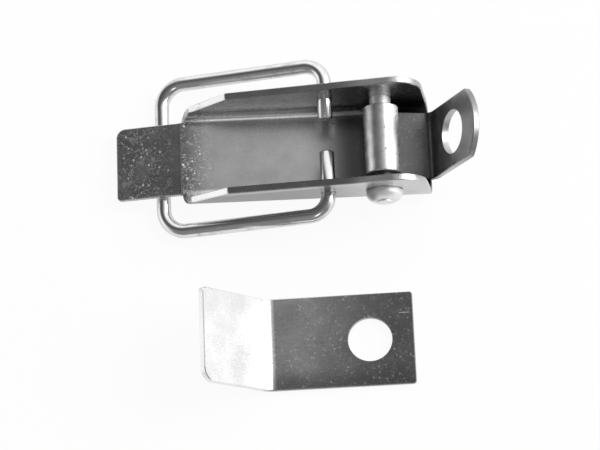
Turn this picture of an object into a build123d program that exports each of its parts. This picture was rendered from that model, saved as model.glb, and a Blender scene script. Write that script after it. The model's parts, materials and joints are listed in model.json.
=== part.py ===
from build123d import *
import os
from math import acos, asin, atan2, cos, degrees, hypot, radians, sin, tan

# Over-centre toggle latch: a folded lever, a curled base bracket, a wire bail,
# the rivet they turn on, and the folded keeper that the bail hooks over.
# Millimetres. The origin is the middle of the keeper's screw hole, on its underside.
# X runs along the latch towards the base bracket, Y across it, Z up from the panel.

# ---- driving dimensions ----

sheet = 1.0  # gauge of every folded sheet
edge_break = 0.12  # bevel of the sheared edges
sharp_angle = 20.0  # degrees, edges that turn by more are rounded
pin_radius = 1.6
wire_radius = 1.1
screw_hole_radius = 3.3

running_gap = 0.05  # radial clearance of a turning fit
seat_gap = 0.02  # between a rivet head and the flange under it
rest_gap = 0.05  # where parts lie against each other with the latch open

latch_x = 3.45  # place of the lever's pivot, seen from above
latch_y = 28.95

# lever, measured from its pivot, with the web's underside at height 0
channel_width = 13.0  # inside, at the web
channel_bend_radius = 1.5
flange_splay = 2.5  # degrees, each flange outwards
web_to_tongue = 30.35
web_to_end = 7.45
toe_x = 28.75  # the flange's lower front corner
toe_height = 3.0
shoulder_x = 23.1  # where the slanted front meets the rim
shoulder_height = 7.8
rim_slope = 9.1  # degrees, the rim rises towards the pivot
heel_radius = 4.5
front_corner_radius = 0.8
pivot_height = 5.35
bail_hole_x = 8.3
bail_hole_height = 5.3
tongue_length = 10.0
tongue_width = 11.3
tongue_drop = 12.2  # degrees below the web
tongue_far_corner_radius = 1.4
tongue_near_corner_radius = 0.5

# base bracket, measured from the pivot with its strap level
strip_width = 10.4
curl_seam = 0.15  # between the end of the curl and the strap
strap_length = 8.0  # pivot to the inner corner of the bend
plate_angle = 79.0  # degrees, plate against strap
plate_bend_radius = 1.0
plate_length = 14.1  # inner corner to the rounded end
plate_hole_offset = 7.15  # inner corner to the middle of the hole

# bail
bail_length = 26.0  # pivot to crossbar, middle to middle
bail_width = 23.4  # leg to leg, middle to middle
bail_corner_radius = 3.6
bail_ear_radius = 3.0
bail_play = 0.8  # the bail lies this far over to the far side
far_stub_end = 3.8
near_stub_end = -1.25
stub_chamfer = 0.2

# rivet
head_radius = 2.75
head_height = 1.5
head_rounding = 1.3
nub_radius = 1.2
nub_height = 0.2
peen_radius = 2.3
peen_height = 0.8
peen_rounding = 0.5

# keeper
keeper_width = 13.8
keeper_hole_to_end = 6.55
keeper_hole_to_fold = 15.05
keeper_hook_angle = 54.0  # degrees above the panel
keeper_hook_length = 13.9
keeper_bend_radius = 1.8
hook_near_corner_radius = 2.0
hook_far_corner_radius = 0.7
keeper_end_corner_radius = 0.5

# ---- how the open latch lies on the panel ----

# The bail's crossbar lies under the tongue, at an angle about the bail holes
# that follows from the distance of the tongue's underside from those holes.
drop = radians(tongue_drop)
tongue_distance = bail_hole_height * cos(drop) - (web_to_tongue - bail_hole_x) * sin(drop)
crossbar_distance = tongue_distance + wire_radius + rest_gap
bail_angle = 270 + tongue_drop - degrees(acos(crossbar_distance / bail_length))
crossbar_x = bail_length * cos(radians(bail_angle)) - bail_hole_x
crossbar_height = bail_length * sin(radians(bail_angle)) + bail_hole_height

# The lever leans on the crossbar at one end and on the edge of its web at the other.
lean_run = web_to_end - crossbar_x
lean_reach = hypot(lean_run, crossbar_height)
lever_pitch = degrees(asin(wire_radius / lean_reach) - atan2(crossbar_height, lean_run))

# The bracket's strap lies on the end of the web.
curl_inner_radius = pin_radius + running_gap
curl_outer_radius = curl_inner_radius + sheet
web_end_depth = pivot_height - sheet
web_end_reach = hypot(web_to_end, web_end_depth)
strap_lean = acos((curl_outer_radius + rest_gap) / web_end_reach)
strap_drop = degrees(strap_lean - atan2(web_to_end, web_end_depth))


def pitched(origin, fall):
    """Plane along the latch whose x falls by so many degrees, with y across the latch."""
    turn = radians(fall)
    return Plane(origin=origin, x_dir=(cos(turn), 0, -sin(turn)), z_dir=(sin(turn), 0, cos(turn)))


def side_of(plane):
    """Plane for a side profile: x runs along the given plane and y stands up from it."""
    return Plane(origin=plane.origin, x_dir=plane.x_dir, z_dir=-plane.y_dir)


def sharp_edges(solid):
    """Edges whose two faces meet at an angle, without the seams of bends and roundings."""
    sharp = ShapeList()
    for edge in solid.edges():
        sides = [face for face in solid.faces() if any(edge.is_same(rim) for rim in face.edges())]
        if len(sides) == 2:
            turn = sides[0].normal_at(edge @ 0.5).get_angle(sides[1].normal_at(edge @ 0.5))
            if turn > sharp_angle:
                sharp.append(edge)
    return sharp


pitch = radians(lever_pitch)
pivot_z = web_to_end * sin(pitch) + pivot_height * cos(pitch)
pivot = (latch_x, latch_y, pivot_z)
lever_plane = pitched(pivot, lever_pitch).offset(-pivot_height)
bracket_plane = pitched(pivot, lever_pitch + strap_drop)
bail_pivot = lever_plane.from_local_coords((-bail_hole_x, 0, bail_hole_height))
bail_plane = pitched(bail_pivot, lever_pitch + 180 - bail_angle)

# ---- lever ----

splay = radians(flange_splay)
rim = radians(rim_slope)
half_inside = channel_width / 2
half_outside = half_inside + sheet / cos(splay) - sheet * tan(splay)
# the heel is the rim's end, where the flange's square end would meet it
heel_height = (shoulder_height + (shoulder_x + web_to_end) * tan(rim)) * cos(rim) ** 2
heel_x = web_to_end - heel_height * tan(rim)
blank_height = heel_height + sheet
blank_lean = (blank_height - sheet) * tan(splay)

lever_section = Plane(
    origin=lever_plane.from_local_coords((-web_to_tongue, 0, 0)),
    x_dir=lever_plane.y_dir,
    z_dir=lever_plane.x_dir,
)

with BuildPart() as lever:
    # the channel, folded from one sheet
    with BuildSketch(lever_section):
        with BuildLine():
            FilletPolyline(
                (-half_inside - blank_lean, blank_height),
                (-half_inside, sheet),
                (half_inside, sheet),
                (half_inside + blank_lean, blank_height),
                radius=channel_bend_radius,
            )
            offset(amount=sheet, side=Side.RIGHT)
        make_face()
    extrude(amount=web_to_tongue + web_to_end)

    # the flanges' outline, cut through both
    with BuildSketch(side_of(lever_plane)):
        with BuildLine():
            Polyline(
                (-web_to_tongue, 0),
                (-toe_x, toe_height),
                (-shoulder_x, shoulder_height),
                (heel_x, heel_height),
                (web_to_end, 0),
                close=True,
            )
        make_face()
        fillet(vertices().sort_by(Axis.Y)[-1], heel_radius)
        fillet(vertices().sort_by(Axis.X)[1:3], front_corner_radius)
    extrude(amount=bail_width, both=True, mode=Mode.INTERSECT)
    chamfer(lever.edges(Select.LAST), edge_break)

    # the tongue, bent down off the end of the web
    mitre = sheet * tan(drop / 2)
    with BuildSketch(side_of(lever_plane)):
        with BuildLine():
            Polyline(
                (-toe_x, 0),
                (-web_to_tongue, 0),
                (-web_to_tongue - tongue_length * cos(drop), -tongue_length * sin(drop)),
                (
                    -web_to_tongue - tongue_length * cos(drop) - sheet * sin(drop),
                    -tongue_length * sin(drop) + sheet * cos(drop),
                ),
                (-web_to_tongue - mitre, sheet),
                (-toe_x, sheet),
                close=True,
            )
        make_face()
    extrude(amount=tongue_width / 2, both=True)
    tongue_normal = pitched(pivot, lever_pitch - tongue_drop).z_dir
    tip_corners = lever.edges().filter_by(Axis(pivot, tongue_normal)).sort_by(Axis.X)[:2]
    fillet(tip_corners.sort_by(Axis.Y)[0], tongue_near_corner_radius)
    across_tongue = lever.edges().filter_by(Axis(pivot, tongue_normal))
    tip_corners = across_tongue.filter_by_position(Axis.Y, latch_y, latch_y + bail_width)
    fillet(tip_corners.sort_by(Axis.X)[0], tongue_far_corner_radius)
    tongue_root = lever_plane.from_local_coords((-web_to_tongue, 0, 0)).X
    tongue_edges = sharp_edges(lever.part).filter_by_position(Axis.X, -bail_length * 2, tongue_root - sheet)
    chamfer(tongue_edges, edge_break)

    # rivet hole and bail hole, through both flanges
    with BuildSketch(side_of(lever_plane)):
        with Locations((0, pivot_height)):
            Circle(pin_radius + seat_gap)
        with Locations((-bail_hole_x, bail_hole_height)):
            Circle(wire_radius + running_gap)
    extrude(amount=bail_width, both=True, mode=Mode.SUBTRACT)

lever.part.label = "lever"

# ---- base bracket ----

plate = radians(plate_angle)
plate_end_radius = plate_length - plate_hole_offset
seam_angle = degrees(asin((curl_inner_radius - curl_seam) / curl_outer_radius))
inner_corner = (strap_length, -curl_inner_radius)
outer_corner = (strap_length + sheet * tan(plate / 2), -curl_outer_radius)
inner_plate_end = (
    strap_length + plate_length * cos(plate),
    plate_length * sin(plate) - curl_inner_radius,
)
outer_plate_end = (
    inner_plate_end[0] + sheet * sin(plate),
    inner_plate_end[1] - sheet * cos(plate),
)
plate_plane = Plane(
    origin=bracket_plane.from_local_coords((strap_length, 0, -curl_inner_radius)),
    x_dir=pitched(pivot, lever_pitch + strap_drop - plate_angle).x_dir,
    z_dir=pitched(pivot, lever_pitch + strap_drop - plate_angle).z_dir,
)

with BuildPart() as base_bracket:
    # the strip, from the seam round the rivet, along the strap and up the plate
    with BuildSketch(side_of(bracket_plane)):
        with BuildLine():
            inner_curl = CenterArc((0, 0), curl_inner_radius, -seam_angle, 270 + seam_angle)
            FilletPolyline(inner_curl @ 1, inner_corner, inner_plate_end, radius=plate_bend_radius)
            outer_curl = CenterArc((0, 0), curl_outer_radius, -seam_angle, 270 + seam_angle)
            FilletPolyline(
                outer_curl @ 1, outer_corner, outer_plate_end, radius=plate_bend_radius + sheet
            )
            Line(inner_curl @ 0, outer_curl @ 0)
            Line(inner_plate_end, outer_plate_end)
        make_face()
    extrude(amount=strip_width / 2, both=True)

    # the plate's end, rounded about its screw hole
    with BuildSketch(plate_plane):
        with Locations((plate_length, 0)):
            Rectangle(2 * plate_end_radius, 2 * strip_width)
        with Locations((plate_hole_offset, 0)):
            Circle(plate_end_radius, mode=Mode.SUBTRACT)
    extrude(amount=2 * sheet, both=True, mode=Mode.SUBTRACT)
    chamfer(sharp_edges(base_bracket.part), edge_break)

    with BuildSketch(plate_plane):
        with Locations((plate_hole_offset, 0)):
            Circle(screw_hole_radius)
    extrude(amount=2 * sheet, both=True, mode=Mode.SUBTRACT)

base_bracket.part.label = "base_bracket"

# ---- bail ----

far_leg = bail_play + bail_width / 2
near_leg = bail_play - bail_width / 2

with BuildPart() as bail:
    with BuildLine(bail_plane) as wire:
        FilletPolyline(
            (0, far_stub_end),
            (0, far_leg),
            (-bail_length, far_leg),
            (-bail_length, near_leg),
            (0, near_leg),
            (0, near_stub_end),
            radius=[bail_ear_radius, bail_corner_radius, bail_corner_radius, bail_ear_radius],
        )
    with BuildSketch(Plane(origin=wire.line @ 0, z_dir=wire.line % 0)):
        Circle(wire_radius)
    sweep()
    stub_ends = bail.faces().filter_by(Axis.Y).filter_by(GeomType.PLANE)
    chamfer(stub_ends.edges(), stub_chamfer)

bail.part.label = "bail"

# ---- pivot rivet ----

# the heads lie on the flanges, which lean outwards
head_face = half_outside + (pivot_height + head_radius) * tan(splay) + seat_gap
peen_face = half_outside + (pivot_height + peen_radius) * tan(splay) + seat_gap
head_top = head_face + head_height
peen_top = peen_face + peen_height

with BuildPart() as pivot_rivet:
    with BuildSketch(Plane(origin=pivot)):
        with BuildLine():
            Polyline(
                (0, -head_top - nub_height),
                (nub_radius, -head_top - nub_height),
                (nub_radius, -head_top),
                (head_radius, -head_top),
                (head_radius, -head_face),
                (pin_radius, -head_face),
                (pin_radius, peen_face),
                (peen_radius, peen_face),
                (peen_radius, peen_top),
                (0, peen_top),
                close=True,
            )
        profile = make_face()
        rims = profile.vertices().group_by(Axis.X)
        fillet(rims[-1].sort_by(Axis.Y)[0], head_rounding)
        fillet(rims[-2].sort_by(Axis.Y)[-1], peen_rounding)
    revolve(axis=Axis(pivot, (0, 1, 0)))

pivot_rivet.part.label = "pivot_rivet"

# ---- keeper ----

hook = radians(keeper_hook_angle)
hook_tip = (
    -keeper_hole_to_fold - keeper_hook_length * cos(hook),
    sheet + keeper_hook_length * sin(hook),
)

with BuildPart() as keeper:
    with BuildSketch(side_of(Plane.XY)):
        with BuildLine():
            FilletPolyline(
                (keeper_hole_to_end, sheet),
                (-keeper_hole_to_fold, sheet),
                hook_tip,
                radius=keeper_bend_radius,
            )
            offset(amount=sheet, side=Side.LEFT)
        make_face()
    extrude(amount=keeper_width / 2, both=True)

    end_corners = keeper.edges().filter_by(Axis.Z).group_by(Axis.X)[-1]
    fillet(end_corners, keeper_end_corner_radius)
    hook_across = Axis((0, 0, 0), (sin(hook), 0, cos(hook)))
    hook_corners = keeper.edges().filter_by(hook_across).group_by(Axis.X)[0].sort_by(Axis.Y)
    fillet(hook_corners[0], hook_near_corner_radius)
    hook_corners = keeper.edges().filter_by(hook_across).sort_by(Axis.Y)
    fillet(hook_corners[-1], hook_far_corner_radius)
    chamfer(sharp_edges(keeper.part), edge_break)

    with BuildSketch(Plane.XY):
        Circle(screw_hole_radius)
    extrude(amount=sheet, mode=Mode.SUBTRACT)

keeper.part.label = "keeper"

# ---- one file for each piece ----

os.makedirs("parts", exist_ok=True)
export_step(lever.part, "parts/lever.step")
export_step(base_bracket.part, "parts/base_bracket.step")
export_step(bail.part, "parts/bail.step")
export_step(pivot_rivet.part, "parts/pivot_rivet.step")
export_step(keeper.part, "parts/keeper.step")
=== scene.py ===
import bpy, json, math
from mathutils import Matrix, Vector


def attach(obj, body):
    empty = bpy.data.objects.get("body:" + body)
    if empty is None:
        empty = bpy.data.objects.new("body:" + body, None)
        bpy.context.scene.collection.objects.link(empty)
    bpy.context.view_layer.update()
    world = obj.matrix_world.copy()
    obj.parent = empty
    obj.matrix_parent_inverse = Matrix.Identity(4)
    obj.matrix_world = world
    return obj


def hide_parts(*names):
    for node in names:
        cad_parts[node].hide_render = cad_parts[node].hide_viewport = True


# Over-centre toggle latch with its keeper, lying open on a white table.
# Sizes in the dictionaries are millimetres, angles are degrees, greys are 0 to 1.

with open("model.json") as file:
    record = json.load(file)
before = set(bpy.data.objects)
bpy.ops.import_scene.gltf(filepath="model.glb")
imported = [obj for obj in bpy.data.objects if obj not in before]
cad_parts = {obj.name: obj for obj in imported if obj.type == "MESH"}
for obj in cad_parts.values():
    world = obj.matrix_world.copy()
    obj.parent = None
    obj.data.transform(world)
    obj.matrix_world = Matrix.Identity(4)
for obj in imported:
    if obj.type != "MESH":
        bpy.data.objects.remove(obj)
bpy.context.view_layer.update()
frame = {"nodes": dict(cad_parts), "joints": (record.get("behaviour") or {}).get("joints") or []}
print("frame loaded:", ", ".join(sorted(frame["nodes"])))

mm = 0.001


class Signal:
    # one shader socket, for use in Python arithmetic
    def __init__(self, shade, socket):
        self.shade = shade
        self.socket = socket

    def maths(self, operation, *values):
        return self.shade.node("ShaderNodeMath", {"operation": operation}, dict(enumerate(values)))

    def __add__(self, other): return self.maths("ADD", self, other)
    def __radd__(self, other): return self.maths("ADD", other, self)
    def __sub__(self, other): return self.maths("SUBTRACT", self, other)
    def __rsub__(self, other): return self.maths("SUBTRACT", other, self)
    def __mul__(self, other): return self.maths("MULTIPLY", self, other)
    def __rmul__(self, other): return self.maths("MULTIPLY", other, self)
    def __pow__(self, other): return self.maths("POWER", self, other)
    def __abs__(self): return self.maths("ABSOLUTE", self)

    def out(self, name):
        return Signal(self.shade, self.socket.node.outputs[name])

    def clamp(self):
        return self.shade.node("ShaderNodeClamp", {}, {"Value": self})

    def step(self, start, end, low=0.0, high=1.0):
        # smooth step from low at start to high at end
        return self.shade.node("ShaderNodeMapRange", {"interpolation_type": "SMOOTHSTEP"},
                               {"Value": self, "From Min": start, "From Max": end,
                                "To Min": low, "To Max": high})


class Shade:
    # the nodes of one material or of the world
    def __init__(self, owner):
        owner.use_nodes = True
        self.tree = owner.node_tree
        self.tree.nodes.clear()

    def node(self, kind, settings, values):
        made = self.tree.nodes.new(kind)
        for name, setting in settings.items():
            setattr(made, name, setting)
        for name, given in values.items():
            if isinstance(given, Signal):
                self.tree.links.new(given.socket, made.inputs[name])
            else:
                made.inputs[name].default_value = given
        live = [socket for socket in made.outputs if socket.enabled]
        return Signal(self, live[0]) if live else made

    def place(self):
        return self.node("ShaderNodeTexCoord", {}, {}).out("Object")

    def axes(self, vector):
        split = self.node("ShaderNodeSeparateXYZ", {}, {"Vector": vector})
        return split.out("X"), split.out("Y"), split.out("Z")

    def stretch(self, vector, scale):
        return self.node("ShaderNodeMapping", {}, {"Vector": vector, "Scale": scale})

    def noise(self, vector, scale, detail=2.0, roughness=0.5, distortion=0.0):
        return self.node("ShaderNodeTexNoise", {}, {"Vector": vector, "Scale": scale, "Detail": detail,
                                                    "Roughness": roughness, "Distortion": distortion})

    def dots(self, vector, scale, size):
        # round spots of about the same size, scattered
        cells = self.node("ShaderNodeTexVoronoi", {"feature": "F1"}, {"Vector": vector, "Scale": scale})
        return cells.out("Distance").step(size * 0.4, size, 1.0, 0.0)

    def grey(self, factor, first, second):
        mixed = self.node("ShaderNodeMix", {"data_type": "RGBA"}, {0: factor})
        tree = self.tree
        for socket, given in ((mixed.socket.node.inputs[6], first), (mixed.socket.node.inputs[7], second)):
            if isinstance(given, Signal):
                tree.links.new(given.socket, socket)
            else:
                socket.default_value = (given, given, given, 1)
        return Signal(self, mixed.socket.node.outputs[2])

    def bump(self, height, distance):
        return self.node("ShaderNodeBump", {}, {"Height": height, "Distance": distance})

    def surface(self, values):
        made = self.node("ShaderNodeBsdfPrincipled", {}, values)
        self.node("ShaderNodeOutputMaterial", {}, {"Surface": made})


def newMaterial(name):
    material = bpy.data.materials.new(name)
    return material, Shade(material)


def within(axes, fades):
    # product of smooth steps along the named axes, given as (axis, none, full) in millimetres
    covers = [axes[axis].step(none * mm, full * mm) for axis, none, full in fades]
    return math.prod(covers[1:], start=covers[0])


def zoned(axes, start, zones):
    for zone in zones:
        start = start + within(axes, zone["fades"]) * zone["share"]
    return start


def paintLightAndTones(shade, axes, tone, paintedLightAndTones):
    # lays each listed grey over its masked place: mostly painted shade and painted highlights, a few plain
    # darker tones
    for paintedMark in paintedLightAndTones:
        tone = shade.grey(within(axes, paintedMark["fades"]) * paintedMark["share"], tone, paintedMark["tone"])
    return tone


# height lines that run with the lever's rim, web and slanted front: z + x * slope
leverSlopes = {"rim": -0.0875, "web": 0.0716, "slant": -0.7337}


def platedSheet(name, options):
    # bright zinc on pressed sheet: faint rolling lines, clouds, worm-like marks, pale specks and dark pits, with
    # painted shade, painted highlights and a few plain darker tones laid on by position
    material, shade = newMaterial(name)
    place = shade.place()
    x, y, z = shade.axes(place)
    axes = {"x": x, "y": y, "z": z}
    for name, slope in leverSlopes.items():
        axes[name] = z + x * slope
    clouds = shade.noise(place, options["cloudScale"], 3.0, 0.55)
    ridges = abs(shade.noise(place, options["wormScale"], 1.5, 0.5, 0.8) - 0.5)
    worms = ridges.step(0.0, options["wormWidth"], 1.0, 0.0)
    patches = shade.noise(place, options["patchScale"], 1.0, 0.5).step(0.34, 0.54, 0.35, 1.0)
    worn = zoned(axes, options["wornFloor"], options["wornZones"])
    dots = shade.dots(place, options["dotScale"], options["dotSize"])
    fine = shade.dots(place, options["fineScale"], options["fineSize"])
    specks = ((worms * options["wormShare"] + dots + fine * 0.7) * patches * worn).clamp()
    specks = zoned(axes, specks, options["scratches"])
    grain = shade.noise(shade.stretch(place, (1.0, 14.0, 14.0)), options["grainScale"], 2.0, 0.6)
    pits = shade.dots(shade.stretch(place, (1.0, 0.8, 1.2)), options["pitScale"], options["pitSize"])
    pitted = zoned(axes, 0.0, options["pitZones"])
    pits = pits * shade.noise(place, options["pitClusterScale"], 1.0).step(0.45, 0.55) * pitted
    tone = shade.grey(clouds.step(0.35, 0.65), options["toneLow"], options["toneHigh"])
    tone = paintLightAndTones(shade, axes, tone, options["paintedLightAndTones"])
    tone = shade.grey(specks, tone, options["speckTone"])
    tone = shade.grey(pits, tone, options["pitTone"])
    rough = (clouds - 0.5) * 0.10 + specks * 0.30 + (grain - 0.5) * 0.06 + pits * 0.2 + options["roughness"]
    height = grain * 0.25 + specks * 0.7 + clouds * 0.4 - pits
    shade.surface({"Base Color": tone, "Metallic": 1.0 - specks * 0.4, "Roughness": rough,
                   "Normal": shade.bump(height, options["bumpDepth"] * mm)})
    return material


def turnedSteel(name, options):
    # the plated rivet: satin, with faint rings round its axis, and painted shadows laid on by position
    material, shade = newMaterial(name)
    place = shade.place()
    x, y, z = shade.axes(place)
    axes = {"x": x, "y": y, "z": z}
    rings = shade.noise(shade.stretch(place, (1.0, 9.0, 1.0)), options["ringScale"], 2.0, 0.6)
    clouds = shade.noise(place, options["cloudScale"], 2.0, 0.6)
    tone = shade.grey(clouds.step(0.3, 0.7), options["toneLow"], options["toneHigh"])
    tone = paintLightAndTones(shade, axes, tone, options["paintedLightAndTones"])
    rough = (rings - 0.5) * 0.15 + (clouds - 0.5) * 0.1 + options["roughness"]
    shade.surface({"Base Color": tone, "Metallic": 1.0, "Roughness": rough,
                   "Normal": shade.bump(rings * 0.5 + clouds, options["bumpDepth"] * mm)})
    return material


def drawnWire(name, options):
    # plated spring wire: bright, with streaks that follow it and a few dull patches
    material, shade = newMaterial(name)
    along = shade.node("ShaderNodeAttribute", {"attribute_name": "along"}, {}).out("Fac")
    girth = shade.node("ShaderNodeAttribute", {"attribute_name": "girth"}, {}).out("Vector")
    across = shade.axes(girth)
    path = shade.node("ShaderNodeCombineXYZ", {}, {0: across[0], 1: across[1], 2: along})
    streaks = shade.noise(shade.stretch(path, (2200.0, 2200.0, options["streakLength"])), 1.0, 3.0, 0.6)
    patches = shade.noise(shade.stretch(path, (500.0, 500.0, 400.0)), 1.0, 3.0, 0.6)
    dull = patches.step(0.50, 0.68) * options["dullShare"]
    pits = shade.dots(shade.stretch(path, (1200.0, 1200.0, 1000.0)), 1.0, 0.25) * patches.step(0.5, 0.6)
    tone = shade.grey(streaks.step(0.35, 0.65), options["toneLow"], options["toneHigh"])
    tone = shade.grey(dull + pits * 0.3, tone, options["dullTone"])
    rough = (streaks - 0.5) * 0.12 + dull * 0.25 + options["roughness"]
    shade.surface({"Base Color": tone, "Metallic": 1.0, "Roughness": rough,
                   "Normal": shade.bump(streaks * 0.5 + patches - pits, options["bumpDepth"] * mm)})
    return material


leverSheet = {
    "toneLow": 0.55, "toneHigh": 0.62, "roughness": 0.27, "bumpDepth": 0.005,
    "cloudScale": 220.0, "grainScale": 300.0, "patchScale": 420.0,
    "wormScale": 1000.0, "wormWidth": 0.045, "wormShare": 0.38,
    "dotScale": 1150.0, "dotSize": 0.26, "fineScale": 2300.0, "fineSize": 0.28, "speckTone": 0.92,
    "wornFloor": 0.03,
    "wornZones": [
        {"share": 0.62, "fades": [("x", -28.0, -29.5)]},
        {"share": 0.95, "fades": [("x", -21.5, -25.3), ("x", -27.3, -26.8)]},
    ],
    "scratches": [],
    "pitScale": 2400.0, "pitSize": 0.30, "pitTone": 0.16, "pitClusterScale": 700.0,
    "pitZones": [
        {"share": 1.0, "fades": [("x", -22.5, -24.8), ("x", -27.3, -26.8)]},
        {"share": 0.9, "fades": [("x", 3.0, 4.0), ("x", 8.0, 6.5), ("rim", 10.4, 10.9)]},
        {"share": 0.45, "fades": [("x", -19.8, -19.2), ("rim", 11.0, 11.4)]},
    ],
    "paintedLightAndTones": [
        # painted shade: the web goes near black beside the pivot curl
        {"tone": 0.04, "share": 0.94,
         "fades": [("x", -9.2, -1.2), ("z", 7.5, 1.6), ("web", 0.9, 1.4), ("y", 21.6, 22.1), ("y", 36.3, 35.8)]},
        # painted shade on the near flange's outer face, left and middle
        {"tone": 0.22, "share": 0.85, "fades": [("y", 21.65, 21.35), ("x", 3.0, -8.0), ("rim", 10.9, 9.5)]},
        # painted shade on the far flange's inner face
        {"tone": 0.30, "share": 0.50, "fades": [("y", 34.9, 35.6), ("rim", 11.2, 10.8)]},
        # painted shade: the rim tops darker between the front and the pivot
        {"tone": 0.20, "share": 0.72, "fades": [("x", 2.0, -2.0), ("x", -20.2, -19.4), ("rim", 10.9, 11.4)]},
        # darker over the tongue and towards its tip
        {"tone": 0.18, "share": 0.35, "fades": [("x", -26.4, -27.2)]},
        {"tone": 0.15, "share": 0.85, "fades": [("x", -22.6, -26.9), ("x", -27.6, -27.0), ("web", 2.6, 2.1)]},
        # more painted shade on the far flange's inner face towards the pivot
        {"tone": 0.45, "share": 0.25, "fades": [("y", 34.6, 35.2), ("x", -5.0, 1.0)]},
        # painted highlight: the upper slanted front rims nearly white
        {"tone": 0.97, "share": 0.90,
         "fades": [("slant", 23.95, 24.12), ("x", -19.2, -19.6), ("z", 4.6, 5.2)]},
    ],
}
bracketSheet = dict(
    leverSheet, toneLow=0.66, toneHigh=0.88, cloudScale=600.0, roughness=0.37, wornFloor=0.04, wornZones=[],
    pitScale=1900.0, pitSize=0.38,
    pitZones=[{"share": 0.9, "fades": [("x", 2.6, 4.4), ("x", 6.6, 6.2), ("z", 5.0, 6.0)]}],
    paintedLightAndTones=[
        # painted shade on the strap beside the curl
        {"tone": 0.04, "share": 0.96, "fades": [("x", 5.0, 5.8), ("x", 12.4, 10.4), ("z", 4.6, 3.8)]},
        # painted shade on the plate, deeper further out
        {"tone": 0.22, "share": 0.50, "fades": [("x", 10.4, 11.4)]},
        {"tone": 0.10, "share": 0.45, "fades": [("x", 13.5, 16.5)]},
        # painted shade: a darker streak along the top of the curl
        {"tone": 0.40, "share": 0.60, "fades": [("x", 2.0, 2.6), ("x", 4.6, 3.8), ("z", 7.2, 8.0)]},
        # painted highlight on the right side of the curl
        {"tone": 0.97, "share": 0.90, "fades": [("x", 4.3, 5.4), ("x", 7.2, 6.8), ("z", 5.4, 6.2)]},
    ])
keeperSheet = dict(
    leverSheet, toneLow=0.82, toneHigh=0.90, wornFloor=0.22, wornZones=[], pitZones=[],
    scratches=[{"share": 0.5,
                "fades": [("y", 3.68, 3.74), ("y", 3.84, 3.78), ("x", 4.3, 4.5), ("x", 6.1, 5.9)]}],
    paintedLightAndTones=[
        # painted shade: the flat darker than the hook
        {"tone": 0.45, "share": 0.6, "fades": [("z", 1.5, 1.1)]},
        # painted shade: the flat darker towards the right
        {"tone": 0.15, "share": 0.85, "fades": [("x", -12.0, 4.0), ("z", 1.5, 1.1)]},
        # painted shade along the flat's near edge
        {"tone": 0.15, "share": 0.6, "fades": [("y", -3.5, -6.4), ("z", 1.5, 1.1)]},
    ])
rivetSteel = {
    "toneLow": 0.90, "toneHigh": 0.97, "roughness": 0.50, "bumpDepth": 0.003,
    "ringScale": 500.0, "cloudScale": 900.0,
    "paintedLightAndTones": [
        # painted shadow on the pin in the gap at the curl's near end
        {"tone": 0.03, "share": 0.95, "fades": [("y", 21.9, 22.2), ("y", 24.2, 23.9)]},
        # painted shadow: a dark crescent on the head's upper left
        {"tone": 0.10, "share": 0.75, "fades": [("x", 3.0, 1.6), ("y", 22.0, 21.6), ("z", 5.6, 7.2)]},
    ],
}
bailWire = {
    "toneLow": 0.72, "toneHigh": 0.80, "dullTone": 0.45, "dullShare": 0.5,
    "roughness": 0.17, "bumpDepth": 0.004, "streakLength": 150.0,
}

finishes = {
    "lever": platedSheet("leverZinc", leverSheet),
    "base_bracket": platedSheet("bracketZinc", bracketSheet),
    "keeper": platedSheet("keeperZinc", keeperSheet),
    "bail": drawnWire("bailZinc", bailWire),
    "pivot_rivet": turnedSteel("rivetZinc", rivetSteel),
}
for node, finish in finishes.items():
    materials = frame["nodes"][node].data.materials
    for index in range(len(materials)):
        materials[index] = finish
print("finishes made")


# the wire's path in the plane of the bail:
# place along, place across, bend radius, share of the full thickness
bail = {
    "fall": -11.788, "wireRadius": 1.1, "roundCount": 40, "bendCount": 16,
    "path": [
        (0.0, 3.8, 0.0, 0.82), (0.0, 4.0, 0.0, 1.0), (0.0, 12.5, 3.0, 1.0), (-26.0, 12.5, 3.6, 1.0),
        (-26.0, -10.9, 3.6, 1.0), (0.0, -10.9, 3.0, 1.0), (0.0, -1.45, 0.0, 1.0), (0.0, -1.25, 0.0, 0.82),
    ],
}


class Grow:
    # a geometry node tree with named inputs
    def __init__(self, name, inputs):
        self.tree = bpy.data.node_groups.new(name, "GeometryNodeTree")
        self.sockets = {}
        for label, kind in [("Geometry", "NodeSocketGeometry")] + inputs:
            self.sockets[label] = self.tree.interface.new_socket(label, in_out="INPUT", socket_type=kind)
        self.tree.interface.new_socket("Geometry", in_out="OUTPUT", socket_type="NodeSocketGeometry")
        self.entry = self.tree.nodes.new("NodeGroupInput")

    def given(self, label):
        return self.entry.outputs[label]

    def node(self, kind, settings, values):
        made = self.tree.nodes.new(kind)
        for name, setting in settings.items():
            setattr(made, name, setting)
        for name, value in values.items():
            if isinstance(value, bpy.types.NodeSocket):
                self.tree.links.new(value, made.inputs[name])
            else:
                made.inputs[name].default_value = value
        return made.outputs

    def finish(self, shape, material):
        real = self.node("GeometryNodeRealizeInstances", {}, {"Geometry": shape})["Geometry"]
        dressed = self.node("GeometryNodeSetMaterial", {},
                            {"Geometry": real, "Material": material})["Geometry"]
        self.node("NodeGroupOutput", {}, {"Geometry": dressed})

    def grown(self, seed, values, name):
        # the evaluated result on a plain new object
        modifier = seed.modifiers.new("grow", "NODES")
        modifier.node_group = self.tree
        for label, value in values.items():
            modifier[self.sockets[label].identifier] = value
        bpy.context.view_layer.update()
        evaluated = seed.evaluated_get(bpy.context.evaluated_depsgraph_get())
        mesh = bpy.data.meshes.new_from_object(evaluated)
        mesh.name = name
        piece = bpy.data.objects.new(name, mesh)
        bpy.context.scene.collection.objects.link(piece)
        bpy.data.objects.remove(seed)
        return piece


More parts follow.
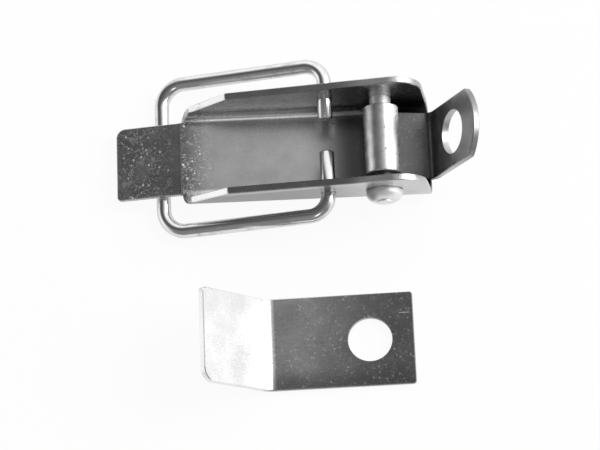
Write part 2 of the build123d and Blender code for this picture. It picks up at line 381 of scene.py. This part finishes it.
def bendWire(options, finish):
    joint = next(joint for joint in frame["joints"] if joint["name"] == "bail_swing")
    turn = Matrix.Rotation(math.radians(options["fall"]), 3, "Y")
    middle = Vector(joint["pos_m"])
    points = [middle + turn @ Vector((along, across, 0)) * mm
              for along, across, bend, share in options["path"]]
    mesh = bpy.data.meshes.new("bailPath")
    mesh.from_pydata(points, [(index, index + 1) for index in range(len(points) - 1)], [])
    for label, column, scale in (("bend", 2, mm), ("share", 3, 1.0)):
        column = [row[column] * scale for row in options["path"]]
        mesh.attributes.new(label, "FLOAT", "POINT").data.foreach_set("value", column)
    seed = bpy.data.objects.new("bailPath", mesh)
    bpy.context.scene.collection.objects.link(seed)

    grow = Grow("bendWire", [("Wire Radius", "NodeSocketFloat"), ("Round Count", "NodeSocketInt"),
                             ("Bend Count", "NodeSocketInt"), ("Finish", "NodeSocketMaterial")])
    bend = grow.node("GeometryNodeInputNamedAttribute", {}, {"Name": "bend"})["Attribute"]
    share = grow.node("GeometryNodeInputNamedAttribute", {}, {"Name": "share"})["Attribute"]
    path = grow.node("GeometryNodeMeshToCurve", {}, {"Mesh": grow.given("Geometry")})["Curve"]
    path = grow.node("GeometryNodeFilletCurve", {"mode": "POLY"},
                     {"Curve": path, "Radius": bend, "Count": grow.given("Bend Count")})["Curve"]
    length = grow.node("GeometryNodeSplineParameter", {}, {})["Length"]
    path = grow.node("GeometryNodeStoreNamedAttribute", {"data_type": "FLOAT"},
                     {"Geometry": path, "Name": "along", "Value": length})["Geometry"]
    ring = grow.node("GeometryNodeCurvePrimitiveCircle", {},
                     {"Resolution": grow.given("Round Count"), "Radius": grow.given("Wire Radius")})["Curve"]
    around = grow.node("GeometryNodeInputPosition", {}, {})["Position"]
    ring = grow.node("GeometryNodeStoreNamedAttribute", {"data_type": "FLOAT_VECTOR"},
                     {"Geometry": ring, "Name": "girth", "Value": around})["Geometry"]
    wire = grow.node("GeometryNodeCurveToMesh", {}, {"Curve": path, "Profile Curve": ring, "Scale": share,
                                                     "Fill Caps": True})["Mesh"]
    grow.finish(wire, grow.given("Finish"))
    piece = grow.grown(seed, {"Wire Radius": options["wireRadius"] * mm, "Round Count": options["roundCount"],
                              "Bend Count": options["bendCount"], "Finish": finish}, "bail_wire_visual")
    for face in piece.data.polygons:
        face.use_smooth = len(face.vertices) == 4
    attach(piece, "bail")
    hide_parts("bail")


bendWire(bail, finishes["bail"])
print("bail bent")


table = {"halfWidth": 2.0, "tone": 1.0, "seenShare": 0.93, "mirroredShare": 0.7}


def layTable(options):
    mesh = bpy.data.meshes.new("tableTop")
    half = options["halfWidth"]
    corners = [(-half, -half, 0), (half, -half, 0), (half, half, 0), (-half, half, 0)]
    mesh.from_pydata(corners, [], [(0, 1, 2, 3)])
    floor = bpy.data.objects.new("tableTop", mesh)
    bpy.context.scene.collection.objects.link(floor)
    material, shade = newMaterial("whitePaper")
    path = shade.node("ShaderNodeLightPath", {}, {})
    mirrored = (path.out("Is Glossy Ray") + path.out("Is Transmission Ray")).clamp()
    seen = path.out("Is Camera Ray") * options["seenShare"] + mirrored * options["mirroredShare"]
    tone = options["tone"]
    paper = shade.node("ShaderNodeBsdfDiffuse", {}, {"Color": (tone, tone, tone, 1)})
    white = shade.node("ShaderNodeEmission", {}, {"Color": (1, 1, 1, 1), "Strength": 1.0})
    surface = shade.node("ShaderNodeMixShader", {}, {0: seen, 1: paper, 2: white})
    shade.node("ShaderNodeOutputMaterial", {}, {"Surface": surface})
    mesh.materials.append(material)


layTable(table)


studio = {
    "side": 1.2, "openingTone": 0.10, "frontTone": 0.26, "slant": 1.5, "slantCentre": 0.25,
    "glow": 0.7, "glowFrom": 0.70, "glowTo": 0.95,
    "spot": 1.8, "spotX": -0.02, "spotY": -0.62, "spotInner": 0.06, "spotOuter": 0.17,
    "leftFrom": -0.98, "leftTo": -0.75, "rightFrom": -0.25, "rightTo": 0.65,
    "frontFrom": 0.35, "frontTo": -0.60, "farFrom": 0.72, "farTo": 0.92,
    "horizonFrom": 0.02, "horizonTo": 0.15,
    "lampPower": 1.6, "lampSize": 0.30, "lampPlace": (0.42, 0.12, 0.36),
}


def lightStudio(options):
    # a white tent with a darker opening overhead and in front, which gives bright metal its contrast
    world = bpy.data.worlds.new("studio")
    bpy.context.scene.world = world
    shade = Shade(world)
    x, y, z = shade.axes(shade.node("ShaderNodeTexCoord", {}, {}).out("Generated"))
    left = x.step(options["leftFrom"], options["leftTo"])
    skewed = x + (y - options["slantCentre"]) * options["slant"]
    right = skewed.step(options["rightFrom"], options["rightTo"], 1.0, 0.0)
    far = y.step(options["farFrom"], options["farTo"], 1.0, 0.0)
    opening = left * right * far * z.step(options["horizonFrom"], options["horizonTo"])
    front = y.step(options["frontTo"], options["frontFrom"], 1.0, 0.0)
    openingTone = front * (options["frontTone"] - options["openingTone"]) + options["openingTone"]
    level = opening * (openingTone - options["side"]) + options["side"]
    level = level + x.step(options["glowFrom"], options["glowTo"]) * options["glow"]
    awayX = x - options["spotX"]
    awayY = y - options["spotY"]
    away = (awayX * awayX + awayY * awayY) ** 0.5
    spot = away.step(options["spotInner"], options["spotOuter"], 1.0, 0.0) * z.step(0.0, 0.2)
    level = level + spot * options["spot"]
    path = shade.node("ShaderNodeLightPath", {}, {})
    level = level + path.out("Is Camera Ray") * (1.0 - level)
    background = shade.node("ShaderNodeBackground", {}, {"Color": (1, 1, 1, 1), "Strength": level})
    shade.node("ShaderNodeOutputWorld", {}, {"Surface": background})
    lamp = bpy.data.lights.new("softbox", "AREA")
    lamp.size = options["lampSize"]
    lamp.energy = options["lampPower"]
    holder = bpy.data.objects.new("softbox", lamp)
    holder.location = options["lampPlace"]
    holder.rotation_euler = (Vector((0, 0, 0)) - holder.location).to_track_quat("-Z", "Y").to_euler()
    bpy.context.scene.collection.objects.link(holder)


lightStudio(studio)


view = {"tilt": 15.09, "roll": -2.33, "yaw": 4.62, "place": (13.724, -60.303, 290.868),
        "focalPixels": 2000.0, "widthPixels": 600.0, "sensorWidth": 36.0}


def placeCamera(options):
    tilt, roll, yaw = (math.radians(options[name]) for name in ("tilt", "roll", "yaw"))
    turn = Matrix(((math.cos(yaw), 0, -math.sin(yaw)), (0, 1, 0), (math.sin(yaw), 0, math.cos(yaw))))
    lean = Matrix(((1, 0, 0), (0, math.cos(tilt), math.sin(tilt)), (0, -math.sin(tilt), math.cos(tilt))))
    twist = Matrix(((math.cos(roll), math.sin(roll), 0), (-math.sin(roll), math.cos(roll), 0), (0, 0, 1)))
    camera = bpy.data.cameras.new("camera")
    camera.sensor_width = options["sensorWidth"]
    camera.lens = options["focalPixels"] * options["sensorWidth"] / options["widthPixels"]
    camera.clip_start = 0.01
    camera.clip_end = 20.0
    holder = bpy.data.objects.new("camera", camera)
    place = (twist @ lean @ turn).transposed().to_4x4()
    place.translation = Vector(options["place"]) * mm
    holder.matrix_world = place
    bpy.context.scene.collection.objects.link(holder)
    bpy.context.scene.camera = holder


placeCamera(view)
bpy.context.scene.view_settings.view_transform = "Standard"
print("floor, light and camera placed")
